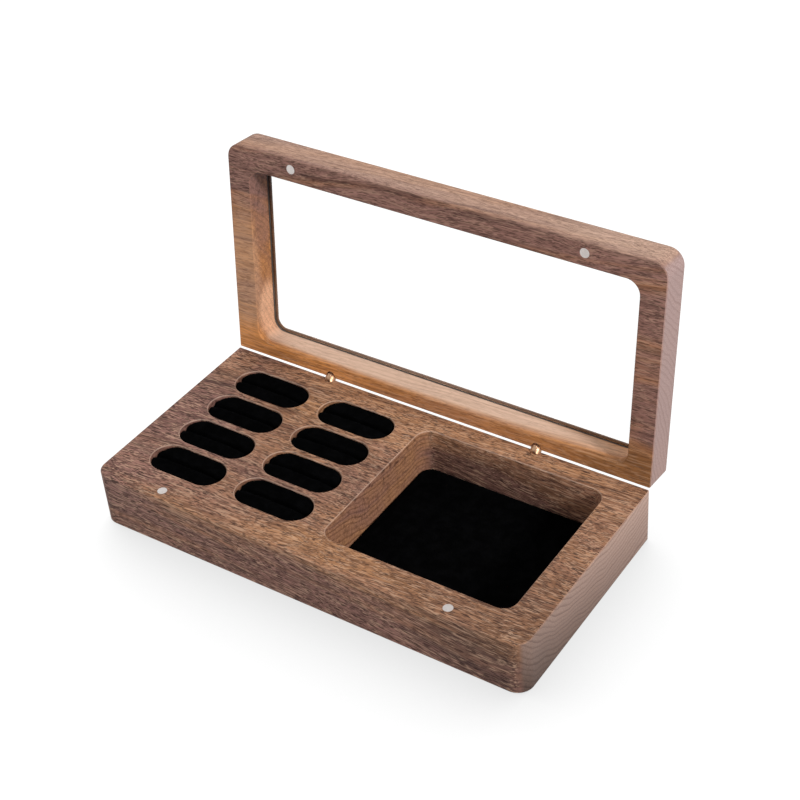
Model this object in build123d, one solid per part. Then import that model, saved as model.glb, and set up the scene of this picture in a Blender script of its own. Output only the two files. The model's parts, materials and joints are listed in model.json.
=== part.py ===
from build123d import *
import os

os.makedirs("parts", exist_ok=True)

# A walnut ring box that stands open. Millimetres, +Z up, +X along the box, +Y to the back.
# The origin is the centre of the base's underside.

# Box outline
box_length = 200.0
box_depth = 97.0
base_height = 25.0
lid_thickness = 15.0
front_corner_radius = 6.7
back_corner_radius = 0.8
outer_round = 2.0            # outer edges of the lid
rim_bevel = 0.35             # eased edges of the underside, the mating faces and the pockets

# Ring slots: two columns of four
slot_length = 35.3
slot_width = 15.9
slot_pitch = 18.95
slot_rows = 4
slot_columns = 2
column_gap = 8.0
slot_floor_thickness = 4.0

# Tray and the shared layout of the pockets
side_rim = 13.5              # end of the box to the first slot, and to the tray
tray_gap = 10.2              # last slot to the tray
tray_width = 74.1
tray_corner_radius = 6.0
tray_floor_thickness = 4.0
pockets_shift = 2.2          # the pockets sit this far behind the middle of the box

# Soft linings
lining_clearance = 0.3
pad_crown_below_rim = 0.3
pad_end_drop = 1.6
pad_edge_drop = 1.8
pad_slit_half_width = 0.3
pad_slit_depth = 8.0
pad_slit_lip = 1.2
liner_thickness = 1.5

# Window and its pane
window_side_rail = 10.7
window_back_rail = 6.0
window_front_rail = 10.2
window_corner_radius = 6.0
pane_depth = 11.5            # mating face to the pane
pane_thickness = 2.0
pane_clearance = 0.15
lip_width = 0.8              # the lip behind the pane, at the lid's outer face
lip_corner_radius = 4.5

# Magnets and hinges sit this far off the middle of the box, to the left
hardware_shift = 0.9

# Magnets
magnet_radius = 2.0
magnet_thickness = 2.0
magnet_spacing = 133.9
magnet_inset = 4.7
magnet_clearance = 0.05
magnet_recess = 0.1

# Barrel hinges, let into the back edges at a slant
hinge_spacing = 100.6
barrel_radius = 2.25
stem_length = 6.0
stem_slant = 45.0            # stem to the seam
pin_setback = 0.6            # pin axis behind the back face, level with the seam
bore_clearance = 0.05
bore_end_clearance = 0.2
tongue_thickness = 1.6
tongue_side_clearance = 0.06
fork_floor = 1.95            # pin axis to the floor of the fork's slot
floor_clearance = 0.05
knuckle_clearance = 0.1
shoulder_sink = 0.9          # shoulders of both halves below the mating faces
pin_radius = 0.6
pin_running_clearance = 0.03
pin_seat_clearance = 0.01
grip_rings = 2
grip_ring_pitch = 1.2
grip_ring_width = 0.5
grip_ring_depth = 0.2
open_angle = 96.2

# Worked out from the sizes above
pin_y = box_depth / 2 + pin_setback
seam_z = base_height
closed_fold = 2 * stem_slant             # angle between the two stems when the lid is shut
past_straight = open_angle + closed_fold - 180
tray_length = (box_length - 2 * side_rim - slot_columns * slot_length
               - (slot_columns - 1) * column_gap - tray_gap)
tray_x = box_length / 2 - side_rim - tray_length / 2
slot_depth = base_height - slot_floor_thickness
window_length = box_length - 2 * window_side_rail
window_width = box_depth - window_back_rail - window_front_rail
window_y = (window_front_rail - window_back_rail) / 2
pane_z = seam_z + pane_depth
lip_z = pane_z + pane_thickness
magnet_y = -box_depth / 2 + magnet_inset
magnet_pocket_depth = magnet_thickness + magnet_recess
sides = {"left": -1, "right": 1}


def slot_centres():
    centres = []
    for row in range(slot_rows):
        y = pockets_shift + slot_pitch * ((slot_rows - 1) / 2 - row)
        for column in range(slot_columns):
            first_x = -box_length / 2 + side_rim + slot_length / 2
            centres.append((first_x + column * (slot_length + column_gap), y))
    return centres


def at_lid(piece):
    # Swings a piece modelled on the shut lid to the open rest position
    return Pos(0, pin_y, seam_z) * Rot(-open_angle, 0, 0) * Pos(0, -pin_y, -seam_z) * piece


def board(thickness, bottom_z):
    # The shared outline has wide round corners in front
    blank = Pos(0, 0, bottom_z + thickness / 2) * Box(box_length, box_depth, thickness)
    front = blank.edges().filter_by(Axis.Z).group_by(Axis.Y)[0]
    return fillet(front, front_corner_radius)


def ease_rim(piece, face):
    # The long edge at the hinges stays sharp, so that the seam looks thin
    edges = [edge for edge in face.edges() if edge.center().Y < box_depth / 2 - rim_bevel]
    return chamfer(edges, rim_bevel)


def soften_back_corners(piece):
    back = piece.edges().filter_by(Axis.Z).group_by(Axis.Y)[-1]
    return fillet(back, back_corner_radius)


def pocket(length, width, radius, centre, floor_z, top_z):
    outline = RectangleRounded(length, width, radius)
    return Pos(centre[0], centre[1], floor_z) * extrude(outline, top_z - floor_z)


def slot_plan(margin):
    return SlotOverall(slot_length - 2 * margin, slot_width - 2 * margin)


def hinge_x(side):
    return side * hinge_spacing / 2 - hardware_shift


def magnet_x(side):
    return side * magnet_spacing / 2 - hardware_shift


def hinge_bores(stem_turn):
    # Slanted holes from both sides of the seam's back edge
    radius = barrel_radius + bore_clearance
    depth = stem_length + bore_end_clearance
    hole = Pos(0, 0, (depth - barrel_radius) / 2) * Cylinder(radius, depth + barrel_radius)
    bores = [Location((hinge_x(side), pin_y, seam_z), (stem_turn, 0, 0)) * hole
             for side in sides.values()]
    return bores


def magnet_pockets(face_z, direction):
    centre_z = face_z + direction * magnet_pocket_depth / 2
    hole = Cylinder(magnet_radius + magnet_clearance, magnet_pocket_depth)
    return [Pos(magnet_x(side), magnet_y, centre_z) * hole for side in sides.values()]


def base_block():
    block = board(base_height, 0)
    block = chamfer(block.faces().sort_by(Axis.Z)[0].edges(), rim_bevel)
    for centre in slot_centres():
        block -= Pos(centre[0], centre[1], slot_floor_thickness) * extrude(slot_plan(0), slot_depth)
    block -= pocket(tray_length, tray_width, tray_corner_radius, (tray_x, pockets_shift),
                    tray_floor_thickness, base_height)
    block = ease_rim(block, block.faces().sort_by(Axis.Z)[-1])
    block = soften_back_corners(block)
    block -= magnet_pockets(base_height, -1)
    block -= hinge_bores(90 + stem_slant)
    return block


def lid_frame():
    top_z = seam_z + lid_thickness
    frame = board(lid_thickness, seam_z)
    frame = fillet(frame.faces().sort_by(Axis.Z)[-1].edges(), outer_round)
    frame -= pocket(window_length, window_width, window_corner_radius, (0, window_y), seam_z, lip_z)
    frame -= pocket(window_length - 2 * lip_width, window_width - 2 * lip_width,
                    lip_corner_radius, (0, window_y), lip_z, top_z)
    frame = ease_rim(frame, frame.faces().sort_by(Axis.Z)[0])
    frame = chamfer(frame.faces().sort_by(Axis.Z)[-1].inner_wires()[0].edges(), rim_bevel)
    frame = soften_back_corners(frame)
    frame -= magnet_pockets(seam_z, 1)
    frame -= hinge_bores(90 - stem_slant)
    return frame


def glass_pane():
    return pocket(window_length - 2 * pane_clearance, window_width - 2 * pane_clearance,
                  window_corner_radius - pane_clearance, (0, window_y), pane_z, lip_z)


def tray_liner():
    return pocket(tray_length - 2 * lining_clearance, tray_width - 2 * lining_clearance,
                  tray_corner_radius - lining_clearance, (tray_x, pockets_shift),
                  tray_floor_thickness, tray_floor_thickness + liner_thickness)


def ring_pad():
    # Two soft rolls side by side, with the ring slit between them; ends droop below the rim
    length = slot_length - 2 * lining_clearance
    width = slot_width - 2 * lining_clearance
    crown = slot_depth - pad_crown_below_rim
    half = width / 2
    roll_top = (half + pad_slit_lip / 2) / 2
    with BuildPart() as pad:
        with BuildSketch(Plane.YZ):
            with BuildLine():
                Polyline((0, crown - pad_slit_depth), (0, 0), (half, 0), (half, crown - pad_edge_drop))
                ThreePointArc((half, crown - pad_edge_drop), (roll_top, crown),
                              (pad_slit_lip, crown - pad_edge_drop))
                Polyline((pad_slit_lip, crown - pad_edge_drop),
                         (pad_slit_half_width, crown - pad_edge_drop - pad_slit_lip),
                         (pad_slit_half_width, crown - pad_slit_depth), (0, crown - pad_slit_depth))
            make_face()
            mirror(about=Plane.YZ)
        extrude(amount=length / 2, both=True)
        with BuildSketch(Plane.XZ):
            with BuildLine():
                Polyline((-length / 2, crown - pad_end_drop), (-length / 2, 0), (length / 2, 0),
                         (length / 2, crown - pad_end_drop))
                ThreePointArc((length / 2, crown - pad_end_drop), (0, crown),
                              (-length / 2, crown - pad_end_drop))
            make_face()
        extrude(amount=width, both=True, mode=Mode.INTERSECT)
        with BuildSketch():
            add(slot_plan(lining_clearance))
        extrude(amount=crown, mode=Mode.INTERSECT)
    return pad.part


def magnet(face_z, direction, side):
    centre_z = face_z + direction * (magnet_recess + magnet_thickness / 2)
    disc = Cylinder(magnet_radius, magnet_thickness)
    return Pos(magnet_x(side), magnet_y, centre_z) * disc


def turned_blank():
    # A round stem with a ball end at the pin and grip rings near its other end
    blank = Pos(0, 0, stem_length / 2) * Cylinder(barrel_radius, stem_length)
    blank += Sphere(barrel_radius)
    for ring in range(grip_rings):
        z = stem_length - (ring + 1) * grip_ring_pitch
        groove = Cylinder(2 * barrel_radius, grip_ring_width)
        groove -= Cylinder(barrel_radius - grip_ring_depth, grip_ring_width)
        blank -= Pos(0, 0, z) * groove
    return blank


def cross_cylinder(radius, length):
    return Rot(0, 90, 0) * Cylinder(radius, length)


def shoulder_cutter(direction, knuckle_radius):
    # All that stands nearer to the seam than the shoulders, apart from the knuckle itself
    size = 8 * barrel_radius
    slab = Pos(0, 0, direction * (size / 2 - shoulder_sink)) * Box(size, size, size)
    return slab - cross_cylinder(knuckle_radius, size)


def hinge_fork():
    fork = Rot(90 + stem_slant, 0, 0) * turned_blank()
    fork -= shoulder_cutter(1, barrel_radius)
    slot_depth_along = fork_floor + 2 * barrel_radius
    slot = Box(tongue_thickness + 2 * tongue_side_clearance, 4 * barrel_radius, slot_depth_along)
    fork -= Rot(90 + stem_slant, 0, 0) * Pos(0, 0, fork_floor - slot_depth_along / 2) * slot
    fork -= cross_cylinder(pin_radius + pin_seat_clearance, 4 * barrel_radius)
    return fork


def tongue_relief():
    # What the fork's floor would meet as the tongue turns from shut to open. The flat at the
    # open end of the relief lands on that floor when the lid is fully open, and stops it.
    reach = fork_floor - floor_clearance
    size = 4 * barrel_radius
    beyond_reach = Pos(0, 0, -reach - size / 2) * Box(size, size, size)
    swept_corner = Pos(0, -size / 2, -size / 2) * Box(size, size, size)
    swept_corner -= cross_cylinder(reach, size)
    relief = Rot(past_straight, 0, 0) * beyond_reach
    relief += Rot(past_straight, 0, 0) * swept_corner
    relief += swept_corner
    relief += Pos(0, -reach - size / 2, barrel_radius / 2) * Box(size, size, barrel_radius)
    relief += Pos(0, -reach - size / 2, -barrel_radius / 2) * Box(size, size, barrel_radius)
    return relief


def hinge_tongue():
    tongue = Rot(90 - stem_slant, 0, 0) * (turned_blank() - tongue_relief())
    tongue -= shoulder_cutter(-1, barrel_radius + knuckle_clearance)
    cheek = cross_cylinder(barrel_radius + knuckle_clearance, 2 * barrel_radius)
    for side in sides.values():
        tongue -= Pos(side * (tongue_thickness / 2 + barrel_radius), 0, 0) * cheek
    tongue -= cross_cylinder(pin_radius + pin_running_clearance, 4 * barrel_radius)
    return tongue


def hinge_pin():
    return cross_cylinder(pin_radius, 4 * barrel_radius) & Sphere(barrel_radius)


def write(piece, name):
    export_step(piece, f"parts/{name}.step")


write(base_block(), "base_block")
write(at_lid(lid_frame()), "lid_frame")
write(at_lid(glass_pane()), "glass_pane")
write(tray_liner(), "tray_liner")
for number, centre in enumerate(slot_centres(), start=1):
    write(Pos(centre[0], centre[1], slot_floor_thickness) * ring_pad(), f"ring_pad_{number}")
for name, side in sides.items():
    write(magnet(base_height, -1, side), f"base_magnet_{name}")
    write(at_lid(magnet(seam_z, 1, side)), f"lid_magnet_{name}")
    seat = Pos(hinge_x(side), pin_y, seam_z)
    write(seat * hinge_fork(), f"hinge_fork_{name}")
    write(at_lid(seat * hinge_tongue()), f"hinge_tongue_{name}")
    write(seat * hinge_pin(), f"hinge_pin_{name}")
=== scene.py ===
import json
import math

import bmesh
import bpy
from mathutils import Matrix, Vector, noise


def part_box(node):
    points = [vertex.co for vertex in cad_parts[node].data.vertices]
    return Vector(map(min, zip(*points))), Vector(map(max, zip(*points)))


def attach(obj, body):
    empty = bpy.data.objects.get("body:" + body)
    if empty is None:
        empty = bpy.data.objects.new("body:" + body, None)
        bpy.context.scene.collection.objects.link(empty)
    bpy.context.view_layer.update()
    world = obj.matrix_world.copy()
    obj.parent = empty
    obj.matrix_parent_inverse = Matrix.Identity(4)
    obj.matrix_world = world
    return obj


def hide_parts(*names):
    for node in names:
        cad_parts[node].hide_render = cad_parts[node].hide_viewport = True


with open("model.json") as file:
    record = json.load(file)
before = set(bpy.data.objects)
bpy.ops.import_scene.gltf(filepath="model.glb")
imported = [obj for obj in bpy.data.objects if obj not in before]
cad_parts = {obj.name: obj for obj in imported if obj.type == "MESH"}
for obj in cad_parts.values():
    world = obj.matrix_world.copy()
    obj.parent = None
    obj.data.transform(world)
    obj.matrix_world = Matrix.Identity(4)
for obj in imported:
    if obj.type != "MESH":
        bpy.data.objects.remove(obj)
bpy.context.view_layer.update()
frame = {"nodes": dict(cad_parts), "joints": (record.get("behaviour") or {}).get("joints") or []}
nodes = frame["nodes"]
scene = bpy.context.scene
mm = 0.001


# helpers for objects and meshes

def newObject(name, data):
    piece = bpy.data.objects.new(name, data)
    scene.collection.objects.link(piece)
    return piece


def meshFrom(build, name):
    mesh = bpy.data.meshes.new(name)
    build.to_mesh(mesh)
    build.free()
    return mesh


def evaluatedMesh(piece):
    graph = bpy.context.evaluated_depsgraph_get()
    return bpy.data.meshes.new_from_object(piece.evaluated_get(graph))


def bakeModifiers(piece):
    mesh = evaluatedMesh(piece)
    piece.modifiers.clear()
    piece.data = mesh
    return mesh


def addRemesh(piece, size):
    remesh = piece.modifiers.new("evenFaces", "REMESH")
    remesh.mode = "VOXEL"
    remesh.voxel_size = size


def shadeSmooth(mesh):
    mesh.polygons.foreach_set("use_smooth", [True] * len(mesh.polygons))
    mesh.update()


def finishMesh(mesh, material):
    mesh.materials.clear()
    mesh.materials.append(material)
    shadeSmooth(mesh)


def smoothStep(low, high, value):
    share = min(1.0, max(0.0, (value - low) / (high - low)))
    return share * share * (3 - 2 * share)


def dress(material, *names):
    for name in names:
        slots = nodes[name].data.materials
        slots.clear()
        slots.append(material)


# helpers for node trees

def addNode(tree, kind, inputs=None, **settings):
    node = tree.nodes.new(kind)
    for name, value in settings.items():
        setattr(node, name, value)
    for name, value in (inputs or {}).items():
        if isinstance(value, bpy.types.NodeSocket):
            tree.links.new(value, node.inputs[name])
        else:
            node.inputs[name].default_value = value
    return node


def newMaterial(name):
    material = bpy.data.materials.new(name)
    material.use_nodes = True
    tree = material.node_tree
    tree.nodes.clear()
    output = addNode(tree, "ShaderNodeOutputMaterial")
    return material, tree, output


def maths(tree, operation, *values, clamp=False):
    return addNode(tree, "ShaderNodeMath", dict(enumerate(values)),
                   operation=operation, use_clamp=clamp).outputs[0]


def times(tree, first, second, clamp=False):
    return maths(tree, "MULTIPLY", first, second, clamp=clamp)


def vectorMaths(tree, operation, *values, output=0):
    return addNode(tree, "ShaderNodeVectorMath", dict(enumerate(values)),
                   operation=operation).outputs[output]


def split(tree, vector):
    return addNode(tree, "ShaderNodeSeparateXYZ", {0: vector}).outputs


def noiseValue(tree, place, scale, detail=2.0, roughness=0.5, colour=False):
    # scale is cycles per metre along x, y and z
    stretched = vectorMaths(tree, "MULTIPLY", place, scale)
    node = addNode(tree, "ShaderNodeTexNoise",
                   {"Vector": stretched, "Scale": 1.0, "Detail": detail, "Roughness": roughness})
    return node.outputs["Color" if colour else "Fac"]


def remap(tree, value, fromLow, fromHigh, toLow=0.0, toHigh=1.0, smooth=False):
    return addNode(tree, "ShaderNodeMapRange",
                   {"Value": value, "From Min": fromLow, "From Max": fromHigh,
                    "To Min": toLow, "To Max": toHigh},
                   interpolation_type="SMOOTHSTEP" if smooth else "LINEAR").outputs["Result"]


def mixColour(tree, amount, first, second, blend="MIX"):
    node = addNode(tree, "ShaderNodeMix", data_type="RGBA", blend_type=blend)
    for socket, value in ((node.inputs[0], amount), (node.inputs[6], first), (node.inputs[7], second)):
        if isinstance(value, bpy.types.NodeSocket):
            tree.links.new(value, socket)
        elif isinstance(value, (int, float)):
            socket.default_value = value
        else:
            socket.default_value = (*value, 1.0)
    return node.outputs[2]


# camera, solved from the photo

photoView = {
    "place": (0.32094, -0.40912, 0.46298),
    "looksAlong": (-0.46947, 0.63910, -0.60922),
    "rollDegrees": -4.8834,
    "lens": 77.44,
    "sensor": 36.0,
    "clip": (0.01, 50.0),
}


def addCamera(view):
    forward = Vector(view["looksAlong"]).normalized()
    right = forward.cross(Vector((0, 0, 1))).normalized()
    up = right.cross(forward)
    roll = math.radians(view["rollDegrees"])
    rolledRight = right * math.cos(roll) + up * math.sin(roll)
    rolledUp = up * math.cos(roll) - right * math.sin(roll)
    lensData = bpy.data.cameras.new("photoCamera")
    lensData.lens = view["lens"]
    lensData.sensor_width = view["sensor"]
    lensData.clip_start, lensData.clip_end = view["clip"]
    camera = newObject("photoCamera", lensData)
    turn = Matrix((rolledRight, rolledUp, -forward)).transposed().to_4x4()
    camera.matrix_world = Matrix.Translation(view["place"]) @ turn
    scene.camera = camera


addCamera(photoView)
scene.view_settings.view_transform = "Standard"
print("camera set at the photo's view")


# studio: floor, world and lamps

studio = {
    "floorSize": 8.0,
    "openFloor": 1.12,          # how white the bare floor looks
    "contactShade": 0.52,       # how much darker it gets where the box blocks the light
    "shadeReach": 0.083,
    "shadeSamples": 24,
    "shadeLean": (-0.46, 0.60, 0.65),   # the floor's light comes from behind and from the left
    "floorBounce": 0.80,        # the floor's colour for the light it throws back
    "ambient": 0.40,
    "mirrored": 0.68,           # the white room as the polished parts show it
    "lamps": [
        # name, direction towards the lamp, distance, size, watts, lights the floor, leaves a gloss
        ("windowKey", (0.835, -0.204, 0.51), 1.30, 0.24, 13.3, False, True),
        ("backSoftbox", (-0.469, 0.639, 0.609), 1.25, 0.85, 7.6, True, False),
        ("frontFill", (-0.20, -0.95, 0.22), 1.40, 0.70, 3.6, False, False),
    ],
    "lampTarget": (0.0, 0.02, 0.05),
}


def roomLevel(tree, seen, mirrored, other):
    # the room's strength for the camera, for reflections and for all other light
    path = addNode(tree, "ShaderNodeLightPath").outputs
    reflected = maths(tree, "MINIMUM", path["Glossy Depth"], 1.0)
    seenThrough = maths(tree, "GREATER_THAN", path["Is Transmission Ray"], reflected)
    viewer = maths(tree, "MAXIMUM", path["Is Camera Ray"], seenThrough)
    mirror = maths(tree, "MAXIMUM", path["Is Glossy Ray"], path["Is Transmission Ray"])
    level = maths(tree, "MULTIPLY_ADD", mirror, mirrored - other, other)
    return addNode(tree, "ShaderNodeMix", {0: viewer, 2: level, 3: seen}).outputs[0]


def whiteForViewer(tree):
    path = addNode(tree, "ShaderNodeLightPath").outputs
    return maths(tree, "MAXIMUM", maths(tree, "MAXIMUM", path["Is Camera Ray"], path["Is Glossy Ray"]),
                 path["Is Transmission Ray"])


def addFloor(settings):
    half = settings["floorSize"] / 2
    mesh = bpy.data.meshes.new("floor")
    mesh.from_pydata([(-half, -half, 0), (half, -half, 0), (half, half, 0), (-half, half, 0)],
                     [], [(0, 1, 2, 3)])
    floor = newObject("floor", mesh)
    material, tree, output = newMaterial("whiteFloor")
    lean = Vector(settings["shadeLean"]).normalized()
    leanNormal = addNode(tree, "ShaderNodeCombineXYZ", dict(enumerate(lean))).outputs[0]
    openness = addNode(tree, "ShaderNodeAmbientOcclusion",
                       {"Distance": settings["shadeReach"], "Normal": leanNormal},
                       samples=settings["shadeSamples"]).outputs["AO"]
    shaded = remap(tree, openness, 0.0, 1.0, 1.0 - settings["contactShade"] / settings["openFloor"], 1.0)
    seenWhite = times(tree, shaded, roomLevel(tree, settings["openFloor"], settings["mirrored"], 0.0))
    bounce = addNode(tree, "ShaderNodeBsdfDiffuse", {"Color": (settings["floorBounce"],) * 3 + (1,)})
    glow = addNode(tree, "ShaderNodeEmission", {"Color": (1, 1, 1, 1), "Strength": seenWhite})
    mixed = addNode(tree, "ShaderNodeMixShader",
                    {0: whiteForViewer(tree), 1: bounce.outputs[0], 2: glow.outputs[0]})
    tree.links.new(mixed.outputs[0], output.inputs["Surface"])
    mesh.materials.append(material)
    return floor


def addWorld(settings):
    world = bpy.data.worlds.new("whiteRoom")
    scene.world = world
    world.use_nodes = True
    tree = world.node_tree
    tree.nodes.clear()
    output = addNode(tree, "ShaderNodeOutputWorld")
    strength = roomLevel(tree, settings["openFloor"], settings["mirrored"], settings["ambient"])
    background = addNode(tree, "ShaderNodeBackground", {"Color": (1, 1, 1, 1), "Strength": strength})
    tree.links.new(background.outputs[0], output.inputs["Surface"])


def addLamps(settings, floor):
    notFloor = bpy.data.collections.new("allButFloor")
    notFloor.objects.link(floor)
    notFloor.collection_objects[0].light_linking.link_state = "EXCLUDE"
    target = Vector(settings["lampTarget"])
    for name, direction, distance, size, watts, lightsFloor, glossy in settings["lamps"]:
        data = bpy.data.lights.new(name, "AREA")
        data.shape = "DISK"
        data.size = size
        data.energy = watts
        lamp = newObject(name, data)
        toLamp = Vector(direction).normalized()
        lamp.location = target + toLamp * distance
        lamp.rotation_euler = (-toLamp).to_track_quat("-Z", "Y").to_euler()
        lamp.visible_glossy = lamp.visible_transmission = glossy
        if not lightsFloor:
            lamp.light_linking.receiver_collection = notFloor


whiteFloor = addFloor(studio)
addWorld(studio)
addLamps(studio, whiteFloor)
print("studio lit")


# walnut: one procedural wood for both boards, with all places and sizes in metres
# four numbers in a row take the first pair's range to the second pair's

baseWalnut = {
    "cool": (0.325, 0.166, 0.131),          # purple brown heartwood
    "warm": (0.490, 0.245, 0.118),          # golden brown
    "warmth": 0.60,                         # the usual share of the warm colour
    "clouds": ((9, 55, 55), 0.3, 0.7, -0.34, 0.34),     # cycles per metre, and how they move the warmth
    "bands": (0.42, 0.25, 0.75, -0.30, 0.30),           # bands per ring, and the same
    "spots": [
        # centre, size, how much warmer or cooler
        ((-0.104, 0.0, 0.02), (0.055, 0.10, 0.06), -0.60),
        ((0.0, -0.0585, 0.002), (0.30, 0.020, 0.030), -1.10),
        ((-0.005, -0.040, 0.027), (0.07, 0.012, 0.008), 0.30),
        ((-0.080, 0.050, 0.027), (0.045, 0.022, 0.02), -0.08),
        # the tray's back wall, cooler and so darker: painted shade, together with the dark tint there
        ((0.044, 0.0405, 0.012), (0.055, 0.009, 0.014), -1.30),
        ((0.092, -0.032, 0.025), (0.020, 0.034, 0.020), -0.25),
        ((0.080, -0.041, 0.026), (0.035, 0.014, 0.010), -0.15),
    ],
    "spotCore": 0.35,                       # the share of its size over which a spot has its full amount
    "divide": None,                         # warmer behind a slanting line: its normal, place, softness
    "pale": (0.72, 0.49, 0.365),            # pale tone: on the lid, painted light on the faces that look up
    "gold": (0.80, 0.33, 0.090),
    # painted light, low on the lid's left inner wall
    "lit": (0.90, 0.51, 0.31),
    "umber": (0.310, 0.152, 0.074),
    "honey": (0.62, 0.320, 0.160),
    # laid on the wood as painted shade
    "dark": (0.135, 0.068, 0.050),
    "tints": [
        # centre, size, colour, amount
        # painted shade by the front right corner near the floor, then painted shade on the tray's back
        # wall
        ((0.106, -0.0500, 0.007), (0.062, 0.030, 0.034), "dark", 0.60),
        ((0.044, 0.0405, 0.010), (0.055, 0.010, 0.016), "dark", 0.50),
        ((0.092, -0.032, 0.025), (0.022, 0.036, 0.014), "umber", 0.65),
        ((0.058, -0.041, 0.026), (0.030, 0.012, 0.008), "umber", 0.55),
        ((-0.005, 0.0445, 0.026), (0.105, 0.007, 0.006), "honey", 0.52),
        ((-0.093, 0.037, 0.026), (0.010, 0.016, 0.006), "honey", 0.45),
        ((-0.001, 0.030, 0.026), (0.008, 0.012, 0.006), "honey", 0.40),
    ],
    "tintCore": 0.5,
    "plainTints": (),                       # the tints that hide some of the figure, as the painted light on the lid does
    "plainness": 0.62,                      # how much of it they hide
    "offset": (0.0, 0.0, 0.0),              # another place in the pattern
    "grainSlope": (0.0, -0.06, 0.09),       # drift of the grain across the board, per metre along it
    "waves": [((9, 26, 26), 0.012), ((60, 160, 160), 0.0013)],      # cycles per metre, and size
    "ringCentre": (0.0, 0.022, 0.135),      # the heart of the tree lay above the box
    "ringSpacing": 0.0023,
    "ringWander": ((2, 90, 90), 1.3),       # cycles per metre, and size in rings
    "lateWood": (0.45, 0.92),               # in each ring, where the wood starts to darken and is darkest
    "ringEdge": (1.0, 0.93),                # and the sharp edge where the next ring starts
    "ringStrength": (0.45, 1.0),            # of the faintest ring and of the strongest
    "ringTone": (0.34, 0.27, 0.25),
    "ringDepth": 0.66,
    "fibres": (26, 1000, 1000),
    "fibreTone": (0.46, 0.40, 0.38),
    "fibreDepth": (0.34, 0.66, 0.60, 0.0),
    "streaks": (6, 340, 340),
    "streakEdge": (0.51, 0.64),
    "streakTone": (0.30, 0.25, 0.26),
    "streakDepth": (0.2, 0.9, 0.50, 0.30),              # from cool wood to warm wood
    "streakSpots": [
        # centre, size, how much deeper
        ((-0.082, 0.036, 0.025), (0.060, 0.030, 0.020), 0.36),
        ((-0.080, -0.040, 0.025), (0.050, 0.014, 0.012), 0.25),
        ((0.080, 0.040, 0.025), (0.040, 0.012, 0.010), 0.45),
        ((0.088, -0.024, 0.025), (0.020, 0.012, 0.010), 0.45),
        ((0.0, 0.010, 0.025), (0.012, 0.040, 0.010), 0.35),
    ],
    "streakCore": 0.4,
    "largePores": ((160, 2100, 2100), (0.29, 0.49)),    # cells per metre, and size in a cell
    "smallPores": ((270, 3400, 3400), (0.34, 0.52)),
    "smallDepth": 0.90,                     # the small pores' depth beside the large ones'
    "poreCore": 0.72,
    "poreSwell": (0.1, 0.9, 1.16, 0.86),    # their size from early wood to late wood
    "pore": (0.036, 0.015, 0.012),
    "poreDepth": (0.93, 0.82),              # on cool wood and on warm wood
    "poreShare": (0.95, 0.66),
    "sideGrain": (0.38, 0.64, 1.0, 0.10),   # pores and glints fade as a face turns to the board's end
    "glints": (90, 1700, 1700),
    "glintEdge": (0.50, 0.64),
    "glintTone": (0.66, 0.43, 0.29),
    "glint": 0.42,
    "endFacing": (0.56, 0.82),              # end grain takes over as a face turns to the board's end
    # sawn ends: dark, light, and the slope and start of the blend between them across the board; on the
    # base the ends darken towards the floor and the front, painted shade
    "sawnEnd": ((0.074, 0.045, 0.035), (0.54, 0.372, 0.305), (0.0, 6.4, 18.0), 0.15),
    "outerEnd": (0.0940, 0.0972),           # the sawn ends lie beyond this
    "sawnShare": 0.93,                      # how much of their own colour they have
    "endRingTone": (0.48, 0.40, 0.38),
    "endRings": 0.74,
    "innerRings": 0.42,                     # the same in the recesses, as a share
    "speckles": (1100, 2100, 2100),
    "speckleTone": (0.60, 0.54, 0.52),
    "speckleDepth": (0.62, 0.38, 0.0, 0.55),
    # eased rims that face partly up are painted lighter: a painted highlight
    "rimFacing": ((0.40, 0.62), (0.94, 0.82)),          # how far up an eased rim faces, where it gets its painted highlight
    "rimHighlightTone": (0.62, 0.45, 0.35),
    "rimHighlight": (0.26, 0.04),                 # more within the reach below, and everywhere
    "rimHighlightReach": (0.0925, 0.042),         # it holds the rims of the slots and of the tray
    "shadedRabbet": None,                         # where painted shade darkens the wood of the pane's seat: middle, half size
    "seatShadeTone": (0.30, 0.28, 0.28),
    "roughness": (0.2, 0.8, 0.46, 0.58),    # over the fibres
    "poreRoughness": 0.25,
    "fibreHeight": 0.35,                    # beside the depth of a pore
    "relief": (0.5, 0.00014),               # strength, and the depth of a pore
    "ior": 1.45,
    "specular": 0.40,
}

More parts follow.
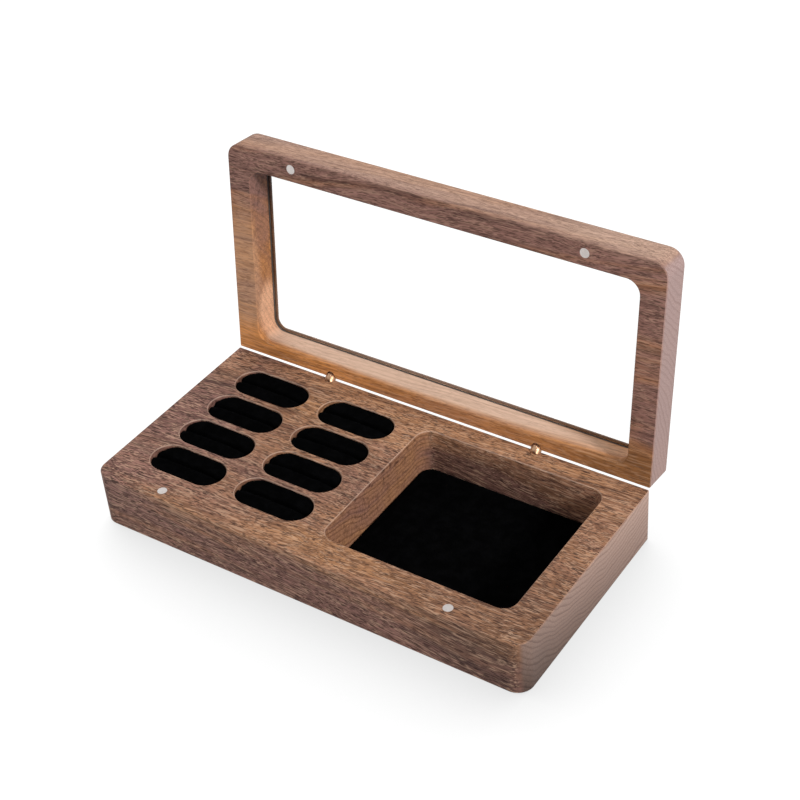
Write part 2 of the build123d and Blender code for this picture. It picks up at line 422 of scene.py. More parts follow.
lidWalnut = dict(
    baseWalnut,
    warm=(0.57, 0.245, 0.082),
    # painted shadow at the right ends of the lower rail and the right rail, by the right hinge
    dark=(0.25, 0.110, 0.038),
    sawnEnd=((0.39, 0.268, 0.245), (0.46, 0.325, 0.305), (0.0, -6.0, 0.0), 0.4),
    endRings=0.40,
    ringDepth=0.26,
    ringCentre=(0.0, 0.075, -0.060),
    grainSlope=(0.0, 0.05, -0.05),
    offset=(0.37, 0.11, 0.23),
    warmth=0.0,
    poreDepth=(0.70, 0.38),
    poreShare=(0.80, 0.35),
    glint=0.20,
    spots=[((0.0, -0.0535, 0.036), (0.16, 0.012, 0.014), 0.30),
           ((-0.0945, 0.010, 0.025), (0.010, 0.045, 0.006), -0.28)],
    # pale painted light on the front edge and the hollow's lower wall, which face up when the lid stands
    # open, a weaker pale tone on the left rail, painted light low on the left inner wall, golden wood by
    # the hinges, painted shadow by the right hinge
    tints=[((0.0, -0.0510, 0.034), (0.25, 0.0065, 0.013), "pale", 0.46),
           ((0.085, -0.0510, 0.034), (0.05, 0.0080, 0.014), "pale", 0.40),
           ((-0.020, 0.0425, 0.0330), (0.136, 0.0045, 0.0086), "pale", 0.94),
           ((-0.089, 0.0300, 0.0330), (0.010, 0.0170, 0.0084), "lit", 0.90),
           ((-0.0945, 0.0120, 0.0240), (0.012, 0.0450, 0.0080), "pale", 0.30),
           ((-0.0880, -0.0120, 0.0320), (0.007, 0.0170, 0.0070), "cool", 0.55),
           ((-0.080, 0.0445, 0.0225), (0.075, 0.0160, 0.0060), "gold", 0.80),
           ((0.092, 0.0480, 0.0225), (0.037, 0.0220, 0.0075), "dark", 0.75)],
    plainTints=("pale", "lit"),
    streakSpots=[((-0.040, -0.044, 0.025), (0.05, 0.008, 0.008), 0.35)],
    rimHighlightReach=(0.0, 0.0),
    divide=((-0.33, 1.0, 0.0), 0.003, 0.012),
    shadedRabbet=((0.0, 0.0, 0.0381), (0.092, 0.042, 0.0016)),
)


def softSpot(tree, place, centre, size, core):
    # 1 in the core of an ellipsoid, fading to 0 at its surface
    offCentre = vectorMaths(tree, "DIVIDE", vectorMaths(tree, "SUBTRACT", place, centre), size)
    return remap(tree, vectorMaths(tree, "LENGTH", offCentre, output="Value"), 1.0, core, smooth=True)


def boardGrain(tree, place, settings):
    # where each point lies in the pattern, in the waved pattern, and among the rings
    drift = vectorMaths(tree, "SCALE", settings["grainSlope"])
    tree.links.new(split(tree, place)[0], drift.node.inputs["Scale"])
    board = vectorMaths(tree, "ADD", place, drift)
    pattern = vectorMaths(tree, "ADD", board, settings["offset"])
    parts = []
    for cycles, size in settings["waves"]:
        cloud = noiseValue(tree, pattern, cycles, colour=True)
        centred = vectorMaths(tree, "SUBTRACT", cloud, (0.5, 0.5, 0.5))
        parts.append(vectorMaths(tree, "MULTIPLY", centred, (0.0, size, size)))
    waves = vectorMaths(tree, "ADD", *parts)
    return pattern, vectorMaths(tree, "ADD", pattern, waves), vectorMaths(tree, "ADD", board, waves)


def growthRings(tree, pattern, ringPlace, settings):
    # a slow rise to the dark late wood in each ring, then a sharp edge
    fromHeart = vectorMaths(tree, "MULTIPLY",
                            vectorMaths(tree, "SUBTRACT", ringPlace, settings["ringCentre"]), (0, 1, 1))
    radius = vectorMaths(tree, "LENGTH", fromHeart, output="Value")
    cycles, size = settings["ringWander"]
    rings = maths(tree, "MULTIPLY_ADD", noiseValue(tree, pattern, cycles, detail=1), size,
                  maths(tree, "DIVIDE", radius, settings["ringSpacing"]))
    within = maths(tree, "FRACT", rings)
    lateWood = times(tree, remap(tree, within, *settings["lateWood"], smooth=True),
                     remap(tree, within, *settings["ringEdge"], smooth=True))
    strength = addNode(tree, "ShaderNodeTexWhiteNoise", {"W": maths(tree, "FLOOR", rings)},
                       noise_dimensions="1D").outputs["Value"]
    dark = times(tree, lateWood, remap(tree, strength, 0.0, 1.0, *settings["ringStrength"]))
    band = addNode(tree, "ShaderNodeTexNoise", {"W": rings, "Scale": settings["bands"][0], "Detail": 2.0},
                   noise_dimensions="1D").outputs["Fac"]
    return within, dark, band


def woodWarmth(tree, wavy, ringPlace, band, settings):
    # 0 where the heartwood is purple brown, 1 where it is golden
    cycles, *cloudRange = settings["clouds"]
    clouds = noiseValue(tree, wavy, cycles, detail=3, roughness=0.55)
    _, bandLow, bandHigh, cooler, warmer = settings["bands"]
    usual = settings["warmth"]
    warmth = maths(tree, "ADD", remap(tree, clouds, *cloudRange),
                   remap(tree, band, bandLow, bandHigh, usual + cooler, usual + warmer))
    for centre, size, amount in settings["spots"]:
        spot = softSpot(tree, ringPlace, centre, size, settings["spotCore"])
        warmth = maths(tree, "MULTIPLY_ADD", spot, amount, warmth)
    if settings["divide"]:
        normal, start, softness = settings["divide"]
        across = vectorMaths(tree, "DOT_PRODUCT", ringPlace, normal, output="Value")
        behind = remap(tree, across, start - softness, start + softness, smooth=True)
        warmth = maths(tree, "ADD", behind, warmth)
    return maths(tree, "ADD", warmth, 0.0, clamp=True)


def tintedWood(tree, place, colour, settings):
    # the tints laid over the heartwood, painted light and painted shade among them, and how much figure
    # still shows through them
    plain = 0.0
    for centre, size, tint, amount in settings["tints"]:
        spot = times(tree, softSpot(tree, place, centre, size, settings["tintCore"]), amount)
        colour = mixColour(tree, spot, colour, settings[tint])
        if tint in settings["plainTints"]:
            plain = maths(tree, "MAXIMUM", spot, plain)
    return colour, maths(tree, "MULTIPLY_ADD", plain, -settings["plainness"], 1.0)


def pores(tree, place, kind, share, swell, settings):
    # open vessels: one long spindle in each stretched cell, some of them missing
    cells, size = settings[kind]
    cell = addNode(tree, "ShaderNodeTexVoronoi",
                   {"Vector": vectorMaths(tree, "MULTIPLY", place, cells), "Scale": 1.0}).outputs
    chance = split(tree, cell["Color"])
    reach = times(tree, remap(tree, chance[0], 0.0, 1.0, *size), swell)
    inside = remap(tree, maths(tree, "DIVIDE", cell["Distance"], reach), 1.0, settings["poreCore"],
                   smooth=True)
    return times(tree, inside, maths(tree, "LESS_THAN", chance[1], share))


def endGrain(tree, place, ringPlace, ringDark, colour, settings):
    # each ring is a thin dark line, and the sawn ends are paler and pinker than the recesses
    # on the base the blend grows darker towards the floor and the front: painted shade
    dark, pale, slope, start = settings["sawnEnd"]
    tone = maths(tree, "ADD", vectorMaths(tree, "DOT_PRODUCT", ringPlace, slope, output="Value"), start,
                 clamp=True)
    sawn = settings["sawnShare"]
    outer = remap(tree, maths(tree, "ABSOLUTE", split(tree, place)[0]), *settings["outerEnd"], 0.0, sawn,
                  smooth=True)
    colour = mixColour(tree, outer, colour, mixColour(tree, tone, dark, pale))
    depth = settings["endRings"]
    lines = remap(tree, outer, 0.0, sawn, settings["innerRings"] * depth, depth)
    colour = mixColour(tree, times(tree, ringDark, lines), colour, settings["endRingTone"], "MULTIPLY")
    speckle = noiseValue(tree, ringPlace, settings["speckles"], detail=1)
    return mixColour(tree, remap(tree, speckle, *settings["speckleDepth"]), colour,
                     settings["speckleTone"], "MULTIPLY")


def paintedRimHighlights(tree, place, facingZ, colour, settings):
    # a painted highlight: eased rims that face partly up are lighter, most of all by the slots and the
    # tray
    rising, falling = settings["rimFacing"]
    rim = times(tree, remap(tree, facingZ, *rising, smooth=True),
                remap(tree, facingZ, *falling, smooth=True))
    near = [maths(tree, "LESS_THAN", maths(tree, "ABSOLUTE", split(tree, place)[axis]), reach)
            for axis, reach in enumerate(settings["rimHighlightReach"])]
    rimHighlight = maths(tree, "MULTIPLY_ADD", times(tree, *near), *settings["rimHighlight"])
    return mixColour(tree, times(tree, rim, rimHighlight), colour, settings["rimHighlightTone"])


def paintedSeatShade(tree, place, colour, settings):
    # painted shade on the wood of the pane's seat, seen through the glass
    middle, half = settings["shadedRabbet"]
    off = vectorMaths(tree, "DIVIDE", vectorMaths(tree, "SUBTRACT", place, middle), half)
    offX, offY, offZ = split(tree, vectorMaths(tree, "ABSOLUTE", off))
    furthest = maths(tree, "MAXIMUM", maths(tree, "MAXIMUM", offX, offY), offZ)
    return mixColour(tree, maths(tree, "LESS_THAN", furthest, 1.0), colour, settings["seatShadeTone"],
                     "MULTIPLY")


def walnutMaterial(name, settings, toBoard=None):
    # toBoard is (location, rotation) that brings the piece back to the board it was sawn from
    material, tree, output = newMaterial(name)
    coords = addNode(tree, "ShaderNodeTexCoord").outputs
    place, facing = coords["Object"], coords["Normal"]
    if toBoard:
        location, rotation = toBoard
        place = addNode(tree, "ShaderNodeMapping",
                        {"Vector": place, "Location": location, "Rotation": rotation}).outputs[0]
        facing = addNode(tree, "ShaderNodeMapping", {"Vector": facing, "Rotation": rotation},
                         vector_type="VECTOR").outputs[0]
    facingX, facingZ = [maths(tree, "ABSOLUTE", split(tree, facing)[axis]) for axis in (0, 2)]
    pattern, wavy, ringPlace = boardGrain(tree, place, settings)
    withinRing, ringDark, band = growthRings(tree, pattern, ringPlace, settings)
    warmth = woodWarmth(tree, wavy, ringPlace, band, settings)
    colour = mixColour(tree, warmth, settings["cool"], settings["warm"])
    colour, figure = tintedWood(tree, place, colour, settings)

    # fibres, dark mineral streaks and the late wood of each ring
    fibre = noiseValue(tree, wavy, settings["fibres"], detail=2, roughness=0.55)
    streak = noiseValue(tree, wavy, settings["streaks"], detail=3, roughness=0.55)
    streakDepth = remap(tree, warmth, *settings["streakDepth"])
    for centre, size, amount in settings["streakSpots"]:
        spot = softSpot(tree, ringPlace, centre, size, settings["streakCore"])
        streakDepth = maths(tree, "MULTIPLY_ADD", spot, amount, streakDepth)
    darkStreak = times(tree, remap(tree, streak, *settings["streakEdge"], smooth=True),
                       times(tree, streakDepth, figure), clamp=True)
    darkFibre = times(tree, remap(tree, fibre, *settings["fibreDepth"]), figure)
    colour = mixColour(tree, darkFibre, colour, settings["fibreTone"], "MULTIPLY")
    colour = mixColour(tree, darkStreak, colour, settings["streakTone"], "MULTIPLY")
    colour = mixColour(tree, times(tree, ringDark, settings["ringDepth"]), colour, settings["ringTone"],
                       "MULTIPLY")

    # glints between the pores, and the pores: short dark dashes along the grain
    swell = remap(tree, withinRing, *settings["poreSwell"])
    share = remap(tree, warmth, 0.0, 1.0, *settings["poreShare"])
    large = pores(tree, wavy, "largePores", share, swell, settings)
    small = pores(tree, wavy, "smallPores", share, swell, settings)
    sideGrain = remap(tree, facingX, *settings["sideGrain"])
    allPores = times(tree, maths(tree, "MAXIMUM", large, times(tree, small, settings["smallDepth"])),
                     sideGrain)
    glint = noiseValue(tree, wavy, settings["glints"], detail=1)
    light = remap(tree, glint, *settings["glintEdge"], 0.0, settings["glint"], smooth=True)
    colour = mixColour(tree, times(tree, light, sideGrain), colour, settings["glintTone"])
    poreDepth = times(tree, remap(tree, warmth, 0.0, 1.0, *settings["poreDepth"]), figure)
    colour = mixColour(tree, times(tree, allPores, poreDepth), colour, settings["pore"])

    endMask = remap(tree, facingX, *settings["endFacing"], smooth=True)
    colour = mixColour(tree, endMask, colour,
                       endGrain(tree, place, ringPlace, ringDark, colour, settings))
    colour = paintedRimHighlights(tree, place, facingZ, colour, settings)
    if settings["shadedRabbet"]:
        colour = paintedSeatShade(tree, place, colour, settings)

    roughness = maths(tree, "ADD", remap(tree, fibre, *settings["roughness"]),
                      times(tree, allPores, settings["poreRoughness"]))
    height = maths(tree, "SUBTRACT", times(tree, fibre, settings["fibreHeight"]), allPores)
    strength, depth = settings["relief"]
    bump = addNode(tree, "ShaderNodeBump", {"Height": height, "Strength": strength, "Distance": depth})
    shader = addNode(tree, "ShaderNodeBsdfPrincipled",
                     {"Base Color": colour, "Roughness": roughness, "Normal": bump.outputs[0],
                      "IOR": settings["ior"], "Specular IOR Level": settings["specular"]})
    tree.links.new(shader.outputs[0], output.inputs["Surface"])
    return material


# the lid stands open at rest, and backToShut turns it shut
hinge = frame["joints"][0]
pinPlace = Vector(hinge["pos_m"])
openAngle = math.radians(-hinge["range_deg"][0])
backToShut = Matrix.Rotation(openAngle, 3, "X")
lidToBoard = (pinPlace - backToShut @ pinPlace, (openAngle, 0, 0))


dress(walnutMaterial("baseWalnut", baseWalnut), "base_block")
dress(walnutMaterial("lidWalnut", lidWalnut, lidToBoard), "lid_frame")
print("walnut on the base and the lid")


# clear pane

paneFinish = {
    "tint": (0.99, 0.998, 0.995),
    "ior": 1.45,
    "reflection": 0.3,
    # the pane's edge faces take a dark opaque colour: painted shade where the pane sits in its seat
    "shadeEdgeColour": (0.030, 0.024, 0.021),
    "edgeRoughness": 0.6,
    "edgeFacing": 0.7,          # faces that look less than this to the pane's front are its edge
}


def glassMaterial(settings):
    material, tree, output = newMaterial("clearPane")
    glass = addNode(tree, "ShaderNodeBsdfPrincipled",
                    {"Base Color": (*settings["tint"], 1), "Roughness": 0.0, "IOR": settings["ior"],
                     "Specular IOR Level": settings["reflection"], "Transmission Weight": 1.0})
    facing = addNode(tree, "ShaderNodeTexCoord").outputs["Normal"]
    front = backToShut.inverted() @ Vector((0, 0, 1))
    faceOn = maths(tree, "ABSOLUTE", vectorMaths(tree, "DOT_PRODUCT", facing, front, output="Value"))
    onEdge = maths(tree, "LESS_THAN", faceOn, settings["edgeFacing"])
    # painted shade: the pane's edge faces are dark and opaque
    ground = addNode(tree, "ShaderNodeBsdfPrincipled",
                     {"Base Color": (*settings["shadeEdgeColour"], 1), "Roughness": settings["edgeRoughness"]})
    body = addNode(tree, "ShaderNodeMixShader", {0: onEdge, 1: glass.outputs[0], 2: ground.outputs[0]})
    clear = addNode(tree, "ShaderNodeBsdfTransparent", {"Color": (*settings["tint"], 1)})
    path = addNode(tree, "ShaderNodeLightPath").outputs
    unseen = maths(tree, "MAXIMUM", path["Is Shadow Ray"], path["Is Diffuse Ray"])
    mixed = addNode(tree, "ShaderNodeMixShader", {0: unseen, 1: body.outputs[0], 2: clear.outputs[0]})
    tree.links.new(mixed.outputs[0], output.inputs["Surface"])
    return material


dress(glassMaterial(paneFinish), "glass_pane")
print("pane cleared")


# metals

metalGrain = {
    "clouds": (700, 700, 700),          # cycles per metre
    "tarnish": (0.42, 0.75, 0.0, 0.7),  # the clouds' range, and the share of tarnish over it
    "scratches": (1200, 9000, 9000),
    "dullness": (0.1, 0.45),            # the range over which the roughness goes up
    "relief": (0.12, 0.00002),
}
metals = {
    "brass": {"colour": (0.68, 0.43, 0.27), "tarnish": (0.38, 0.215, 0.13), "roughness": (0.40, 0.56)},
    "nickel": {"colour": (0.95, 0.89, 0.86), "tarnish": (0.80, 0.74, 0.71), "roughness": (0.38, 0.50)},
}


def metalMaterial(name, settings, grain):
    material, tree, output = newMaterial(name)
    place = addNode(tree, "ShaderNodeTexCoord").outputs["Object"]
    cloud = noiseValue(tree, place, grain["clouds"], detail=3)
    scratch = noiseValue(tree, place, grain["scratches"], detail=2)
    colour = mixColour(tree, remap(tree, cloud, *grain["tarnish"]), settings["colour"],
                       settings["tarnish"])
    roughness = remap(tree, times(tree, cloud, scratch), *grain["dullness"], *settings["roughness"])
    strength, depth = grain["relief"]
    bump = addNode(tree, "ShaderNodeBump", {"Height": scratch, "Strength": strength, "Distance": depth})
    shader = addNode(tree, "ShaderNodeBsdfPrincipled",
                     {"Base Color": colour, "Metallic": 1.0, "Roughness": roughness,
                      "Normal": bump.outputs[0]})
    tree.links.new(shader.outputs[0], output.inputs["Surface"])
    return material


dress(metalMaterial("turnedBrass", metals["brass"], metalGrain),
      "hinge_fork_left", "hinge_fork_right", "hinge_tongue_left", "hinge_tongue_right",
      "hinge_pin_left", "hinge_pin_right")
dress(metalMaterial("nickelPlate", metals["nickel"], metalGrain),
      "base_magnet_left", "base_magnet_right", "lid_magnet_left", "lid_magnet_right")

metalShape = {
    "voxel": 0.12,              # of the turned halves, in mm like all that follow
    "melt": 6,                  # rounds of smoothing
    "round": 2.28,              # radius of the ball and the stem
    "roundFrom": 1.75,          # what lies further out than this is drawn out to the radius
    "roundFull": 0.96,          # and is wholly there at this share of it
    "stem": 5.6,
    "rim": 0.22,                # eased edge of a magnet
    "rimSegments": 3,
    "rimAngle": 40,             # degrees
    "weld": 0.001,
}
forkStem = Vector((0.0, -1.0, -1.0)).normalized()
tongueStem = backToShut.inverted() @ Vector((0.0, -1.0, 1.0)).normalized()


def turnHinge(half, side, stem, body, shape):
    # turned brass: soft edges on the cheeks, a full round ball at the pin and a round stem
    name = f"hinge_{half}_{side}"
    low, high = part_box(name)
    blank = newObject(f"turned_{half}_{side}", nodes[name].data.copy())
    addRemesh(blank, shape["voxel"] * mm)
    melt = blank.modifiers.new("melt", "SMOOTH")
    melt.iterations = shape["melt"]
    mesh = bakeModifiers(blank)
    centre = Vector(((low[0] + high[0]) / 2, pinPlace.y, pinPlace.z))
    radius, start, length = (shape[key] * mm for key in ("round", "roundFrom", "stem"))
    full = radius * shape["roundFull"]
    for vertex in mesh.vertices:
        axis = centre + stem * min(length, max(0.0, (vertex.co - centre).dot(stem)))
        off = vertex.co - axis
        if off.length > start:
            grow = (radius / off.length - 1) * smoothStep(start, full, off.length)
            vertex.co = axis + off * (1 + grow)
    shadeSmooth(mesh)
    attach(blank, body)
    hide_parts(name)


def easeMagnet(name, shape):
    weld = nodes[name].modifiers.new("weld", "WELD")
    weld.merge_threshold = shape["weld"] * mm
    bevel = nodes[name].modifiers.new("easedRim", "BEVEL")
    bevel.width = shape["rim"] * mm
    bevel.segments = shape["rimSegments"]
    bevel.limit_method = "ANGLE"
    bevel.angle_limit = math.radians(shape["rimAngle"])


for side in ("left", "right"):
    turnHinge("fork", side, forkStem, "base", metalShape)
    turnHinge("tongue", side, tongueStem, "lid", metalShape)
    easeMagnet(f"base_magnet_{side}", metalShape)
    easeMagnet(f"lid_magnet_{side}", metalShape)
print("metals on the hinges and the magnets")


# velvet

velvet = {
    "nap": (0.0013, 0.0013, 0.0014),
    "crushed": (0.0026, 0.0026, 0.0029),
    "brushed": (260, 260, 260),         # cycles per metre
    "pile": (5200, 5200, 5200),
    "crush": (0.4, 0.7),
    "heights": (0.8, 0.5),              # of the brushed places and of the pile
    "relief": (0.5, 0.0002),
    "roughness": 0.95,
    "sheen": 0.012,
    "sheenRoughness": 0.35,
    "sheenTint": (0.70, 0.72, 0.78),
}


def velvetMaterial(name, settings):
    material, tree, output = newMaterial(name)
    place = addNode(tree, "ShaderNodeTexCoord").outputs["Object"]
    brushed = noiseValue(tree, place, settings["brushed"], detail=3)
    pile = noiseValue(tree, place, settings["pile"], detail=1)
    colour = mixColour(tree, remap(tree, brushed, *settings["crush"]), settings["nap"],
                       settings["crushed"])
    high, fine = settings["heights"]
    height = maths(tree, "MULTIPLY_ADD", brushed, high, times(tree, pile, fine))
    strength, depth = settings["relief"]
    bump = addNode(tree, "ShaderNodeBump", {"Height": height, "Strength": strength, "Distance": depth})
    shader = addNode(tree, "ShaderNodeBsdfPrincipled",
                     {"Base Color": colour, "Roughness": settings["roughness"],
                      "Normal": bump.outputs[0], "Specular IOR Level": 0.0,
                      "Sheen Weight": settings["sheen"], "Sheen Roughness": settings["sheenRoughness"],
                      "Sheen Tint": (*settings["sheenTint"], 1)})
    tree.links.new(shader.outputs[0], output.inputs["Surface"])
    return material


blackVelvet = velvetMaterial("blackVelvet", velvet)


# ring pads: foam rolls under velvet, with a slit between them

ringPad = {
    "names": [f"ring_pad_{number}" for number in range(1, 9)],
    "inset": -0.40,             # mm, as are the other lengths: the start shape is cut this much too large
    "rollMiddle": 0.55,         # of the half width
    "rollPower": 2.6,
    "lipDrop": 0.8,             # from a roll's top down to the slit, to the wall and to the ends
    "wallDrop": 0.12,
    "endDrop": 0.85,
    "endPower": 2.2,
    "edgeRound": 1.6,
    "edgeDrop": 0.22,
    "edgePower": 1.5,
    "lipHalf": 0.9,             # half width of the slit between the rolls, at the top and deep down
    "slitHalf": 0.5,
    "slitDepth": 7.5,
    "slitEnd": 4.0,             # how far from the pad's ends it reaches its full depth
    "slitEndDepth": 0.35,       # the share of it at the ends
    "leans": (0.35, -0.1),      # of the two forms that the pads are made from
    "rows": (0.0, 0.3, 0.5, 0.62, 0.75, 0.88, 1.0, 1.12, 1.3, 1.7, 2.3, 3.0, 3.8, 4.6, 5.3, 5.9, 6.4),
    "rowUnit": 7.0,             # the rows are in sevenths of the half width
    "edgeRows": (0.955, 0.985, 1.0),
    "columns": 24,              # from the middle to each end
    "voxel": 0.75,
    "simScale": 20.0,           # cloth is steadier at a cushion's size
    "cloth": {"quality": 5, "mass": 0.3, "tension_stiffness": 12, "compression_stiffness": 12,
              "bending_stiffness": 0.6, "use_pressure": True, "uniform_pressure_force": 4.0},
    "frames": 20,
    "swell": 0.45,              # the most that a point may move
    "crease": 0.16,
    "creaseLength": 5.0,
    "fineCrease": (2.7, 0.35),  # how much shorter and how deep the fine creases are beside the others
    "seedStep": (7.3, 3.1, 0.0),
}


def stadiumEdge(x, y, length, width):
    # distance inside the slot-shaped outline
    radius = width / 2
    return radius - math.hypot(max(0.0, abs(x) - (length / 2 - radius)), y)


def padTop(x, y, length, width, height, shape, lean):
    half = width / 2
    middle = half * shape["rollMiddle"]
    side = abs(y)
    inner = side < middle
    reach = (side - middle) / (middle if inner else half - middle)
    z = height - shape["lipDrop" if inner else "wallDrop"] * abs(reach) ** shape["rollPower"]
    endReach = abs(x) / (length / 2)
    z -= shape["endDrop"] * endReach ** shape["endPower"] * (1.0 + lean * (1 if x > 0 else -1))
    inside = stadiumEdge(x, y, length, width)
    z -= shape["edgeDrop"] * (1 - smoothStep(0, shape["edgeRound"], inside)) ** shape["edgePower"]
    shallow = shape["slitEndDepth"]
    deepening = smoothStep(0.0, shape["slitEnd"], length / 2 - abs(x))
    depth = shape["slitDepth"] * (shallow + (1 - shallow) * deepening)
    slit = 1 - smoothStep(shape["slitHalf"], shape["lipHalf"], side)
    return z * (1 - slit) + (height - depth) * slit


def padStart(shape, size, lean):
    inset = shape["inset"]
    length, width, height = size[0] - 2 * inset, size[1] - 2 * inset, size[2] - inset
    radius = width / 2
    rows = [row * radius / shape["rowUnit"] for row in shape["rows"]]
    rows += [radius * row for row in shape["edgeRows"]]
    rows = [-y for y in reversed(rows[1:])] + rows
    steps = shape["columns"]
    columns = [math.sin(math.pi / 2 * step / steps) for step in range(-steps, steps + 1)]
    build = bmesh.new()
    under, over = [], []
    for layer in (under, over):
        for y in rows:
            reach = length / 2 - radius + math.sqrt(max(0.0, radius * radius - y * y))
            row = []
            for column in columns:
                x = column * reach
                z = padTop(x, y, length, width, height, shape, lean) if layer is over else 0.0
                row.append(build.verts.new((x, y, z)))
            layer.append(row)
    lastRow, lastColumn = len(rows) - 1, len(columns) - 1
    for i in range(lastRow):
        for j in range(lastColumn):
            build.faces.new((over[i][j], over[i][j + 1], over[i + 1][j + 1], over[i + 1][j]))
            build.faces.new((under[i][j], under[i + 1][j], under[i + 1][j + 1], under[i][j + 1]))
    rim = [(0, j) for j in range(lastColumn)] + [(i, lastColumn) for i in range(lastRow)]
    rim += [(lastRow, j) for j in range(lastColumn, 0, -1)] + [(i, 0) for i in range(lastRow, 0, -1)]
    for (row, column), (nextRow, nextColumn) in zip(rim, rim[1:] + rim[:1]):
        build.faces.new((under[row][column], under[nextRow][nextColumn],
                         over[nextRow][nextColumn], over[row][column]))
    bmesh.ops.recalc_face_normals(build, faces=build.faces)
    return build


def swellPad(piece, shape):
    # air pressure in the velvet, with no point moving further than the cap
    before = [vertex.co.copy() for vertex in piece.data.vertices]
    cloth = piece.modifiers.new("swell", "CLOTH")
    for name, value in shape["cloth"].items():
        setattr(cloth.settings, name, value)
    cloth.settings.effector_weights.gravity = 0
    cloth.collision_settings.use_collision = False
    cloth.point_cache.frame_start = 1
    cloth.point_cache.frame_end = shape["frames"]
    for step in range(1, shape["frames"] + 1):
        scene.frame_set(step)
    swollen = bakeModifiers(piece)
    cap = shape["swell"] * mm * shape["simScale"]
    for start, vertex in zip(before, swollen.vertices):
        move = vertex.co - start
        if move.length > cap:
            vertex.co = start + move * (cap / move.length)
    scene.frame_set(1)


def padShape(shape, size, lean, name):
    build = padStart(shape, size, lean)
    scale = mm * shape["simScale"]
    bmesh.ops.scale(build, vec=(scale,) * 3, verts=build.verts)
    piece = newObject(name, meshFrom(build, name))
    addRemesh(piece, shape["voxel"] * scale)
    bakeModifiers(piece)
    swellPad(piece, shape)
    divide = piece.modifiers.new("finer", "SUBSURF")
    divide.levels = divide.render_levels = 1
    mesh = evaluatedMesh(piece)
    bpy.data.objects.remove(piece)
    mesh.transform(Matrix.Scale(1 / shape["simScale"], 4))
    return mesh


def keepInSlot(co, length, width, height):
    # nothing of the pad goes into the wood
    radius = width / 2
    middle = max(-(length / 2 - radius), min(length / 2 - radius, co.x))
    off = Vector((co.x - middle, co.y))
    if off.length > radius:
        off *= radius / off.length
        co.x, co.y = middle + off.x, off.y
    co.z = min(height, max(0.0, co.z))


def addRingPads(shape, material):
    low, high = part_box(shape["names"][0])
    size = [(b - a) / mm for a, b in zip(low, high)]
    length, width, height = (value * mm for value in size)
    forms = [padShape(shape, size, lean, f"padForm{number}")
             for number, lean in enumerate(shape["leans"])]
    shorter, depth = shape["fineCrease"]
    pads = []
    # each form is used four times, twice turned about, and the creases differ on every pad
    for number, name in enumerate(shape["names"]):
        low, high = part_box(name)
        centre = Vector(((low[0] + high[0]) / 2, (low[1] + high[1]) / 2, low[2]))
        mesh = forms[number % 2].copy()
        if number % 4 > 1:
            mesh.transform(Matrix.Rotation(math.pi, 4, "Z"))
        seed = Vector([step * number for step in shape["seedStep"]])
        normals = [vertex.normal.copy() for vertex in mesh.vertices]
        for vertex, normal in zip(mesh.vertices, normals):
            spot = vertex.co / (shape["creaseLength"] * mm) + seed
            wave = noise.noise(spot) + depth * noise.noise(spot * shorter)
            vertex.co += normal * (wave * shape["crease"] * mm)
            keepInSlot(vertex.co, length, width, height)
        mesh.transform(Matrix.Translation(centre))
        finishMesh(mesh, material)
        pad = newObject(f"velvet_pad_{number + 1}", mesh)
        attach(pad, "base")
        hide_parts(name)
        pads.append(pad)
    for mesh in forms:
        bpy.data.meshes.remove(mesh)
    return pads


velvetPads = addRingPads(ringPad, blackVelvet)
print("ring pads swollen and set in their slots")


# tray board: card wrapped in velvet, with rolled edges

trayBoard = {
    "weld": 0.001,              # mm, as are the other lengths
    "voxel": 0.75,
    "rounding": 3,              # rounds of smoothing
    "wave": 0.10,
    "waveLength": 22.0,
}


def addTrayBoard(shape, material):
    build = bmesh.new()
    build.from_mesh(nodes["tray_liner"].data)
    bmesh.ops.remove_doubles(build, verts=build.verts, dist=shape["weld"] * mm)
    bmesh.ops.recalc_face_normals(build, faces=build.faces)
    board = newObject("velvet_tray_board", meshFrom(build, "velvetTrayBoard"))
    addRemesh(board, shape["voxel"] * mm)
    soften = board.modifiers.new("soften", "SMOOTH")
    soften.iterations = shape["rounding"]
    mesh = bakeModifiers(board)
    low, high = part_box("tray_liner")
    for vertex in mesh.vertices:
        height = (vertex.co.z - low[2]) / (high[2] - low[2])
        wave = noise.noise(vertex.co / (shape["waveLength"] * mm))
        vertex.co.z = min(high[2], vertex.co.z + wave * shape["wave"] * mm * max(0.0, height))
        vertex.co.z = max(low[2], vertex.co.z)
    finishMesh(mesh, material)
    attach(board, "base")
    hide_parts("tray_liner")
    return board


trayVelvet = addTrayBoard(trayBoard, blackVelvet)
print("tray board wrapped")


# velvet pile: short fibres on every upward face of the pads and the tray board

pile = {
    "name": "velvet_pile",
    "density": 5.0e6,           # fibres per square metre
    "length": 0.00050,
    "width": 0.00005,
    "lean": 0.55,               # radians either way
    "seed": 7,
    "upward": 0.35,             # the least upward part of a face's normal
    "turn": 3.1,                # radians either way about the fibre
    "leanSeed": 11,
    "sizes": (0.6, 1.15),
    "sizeSeed": 12,
}


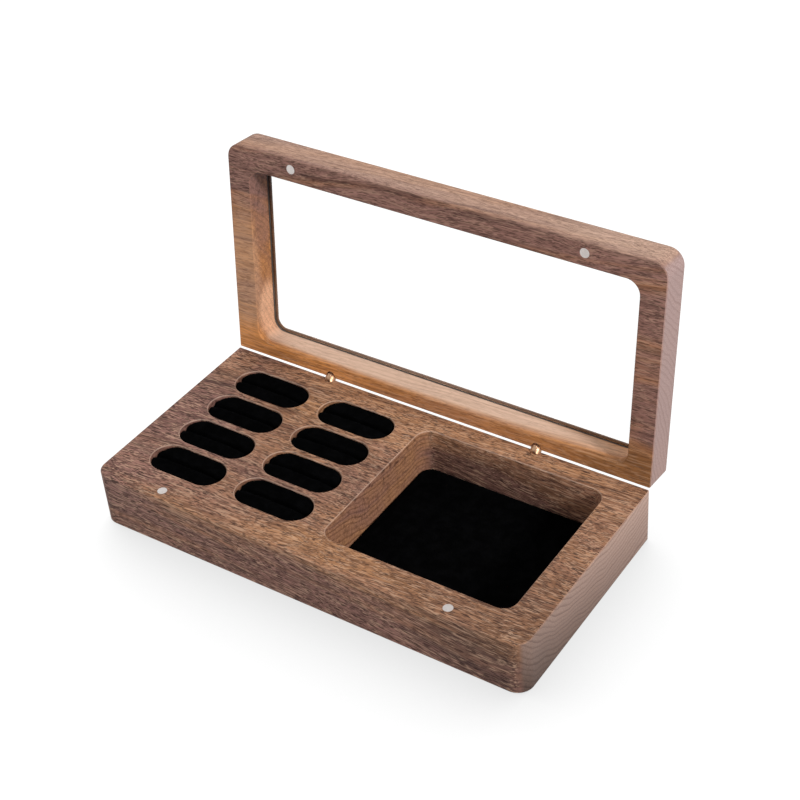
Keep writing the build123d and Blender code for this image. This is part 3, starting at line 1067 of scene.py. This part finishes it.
def pileTree(settings, material):
    tree = bpy.data.node_groups.new("velvetPile", "GeometryNodeTree")
    face = tree.interface
    face.new_socket("Cloth", in_out="INPUT", socket_type="NodeSocketGeometry")
    for name in ("Density", "Length", "Width", "Lean"):
        face.new_socket(name, in_out="INPUT", socket_type="NodeSocketFloat")
    face.new_socket("Seed", in_out="INPUT", socket_type="NodeSocketInt")
    face.new_socket("Pile", in_out="OUTPUT", socket_type="NodeSocketGeometry")
    given = addNode(tree, "NodeGroupInput").outputs
    normalZ = split(tree, addNode(tree, "GeometryNodeInputNormal").outputs[0])[2]
    upward = maths(tree, "GREATER_THAN", normalZ, settings["upward"])
    roots = addNode(tree, "GeometryNodeDistributePointsOnFaces",
                    {"Mesh": given["Cloth"], "Selection": upward, "Density": given["Density"],
                     "Seed": given["Seed"]}).outputs
    fibre = addNode(tree, "GeometryNodeMeshCone",
                    {"Vertices": 3, "Radius Top": 0.0, "Radius Bottom": given["Width"],
                     "Depth": given["Length"]}, fill_type="NONE").outputs["Mesh"]
    most = addNode(tree, "ShaderNodeCombineXYZ",
                   {0: given["Lean"], 1: given["Lean"], 2: settings["turn"]}).outputs[0]
    least = vectorMaths(tree, "SCALE", most)
    least.node.inputs["Scale"].default_value = -1.0
    lean = addNode(tree, "FunctionNodeRandomValue", {0: least, 1: most, "Seed": settings["leanSeed"]},
                   data_type="FLOAT_VECTOR").outputs[0]
    leaning = addNode(tree, "FunctionNodeEulerToRotation", {0: lean}).outputs[0]
    turned = addNode(tree, "FunctionNodeRotateRotation", {0: roots["Rotation"], 1: leaning},
                     rotation_space="LOCAL").outputs[0]
    smallest, largest = settings["sizes"]
    size = addNode(tree, "FunctionNodeRandomValue",
                   {2: smallest, 3: largest, "Seed": settings["sizeSeed"]}, data_type="FLOAT").outputs[1]
    fibres = addNode(tree, "GeometryNodeInstanceOnPoints",
                     {"Points": roots["Points"], "Instance": fibre, "Rotation": turned,
                      "Scale": size}).outputs[0]
    real = addNode(tree, "GeometryNodeRealizeInstances", {0: fibres}).outputs[0]
    painted = addNode(tree, "GeometryNodeSetMaterial", {"Geometry": real, "Material": material}).outputs[0]
    addNode(tree, "NodeGroupOutput", {"Pile": painted})
    return tree


def setInput(modifier, name, value):
    for item in modifier.node_group.interface.items_tree:
        if item.item_type == "SOCKET" and item.in_out == "INPUT" and item.name == name:
            modifier[item.identifier] = value


def addPile(settings, cloths, material):
    build = bmesh.new()
    for cloth in cloths:
        build.from_mesh(cloth.data)
    ground = newObject("pileGround", meshFrom(build, "pileGround"))
    nap = ground.modifiers.new("velvetPile", "NODES")
    nap.node_group = pileTree(settings, material)
    for name in ("Density", "Length", "Width", "Lean", "Seed"):
        setInput(nap, name, settings[name.lower()])
    mesh = evaluatedMesh(ground)
    bpy.data.objects.remove(ground)
    grown = newObject(settings["name"], mesh)
    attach(grown, "base")
    print("velvet pile:", len(mesh.polygons), "faces")


addPile(pile, velvetPads + [trayVelvet], blackVelvet)
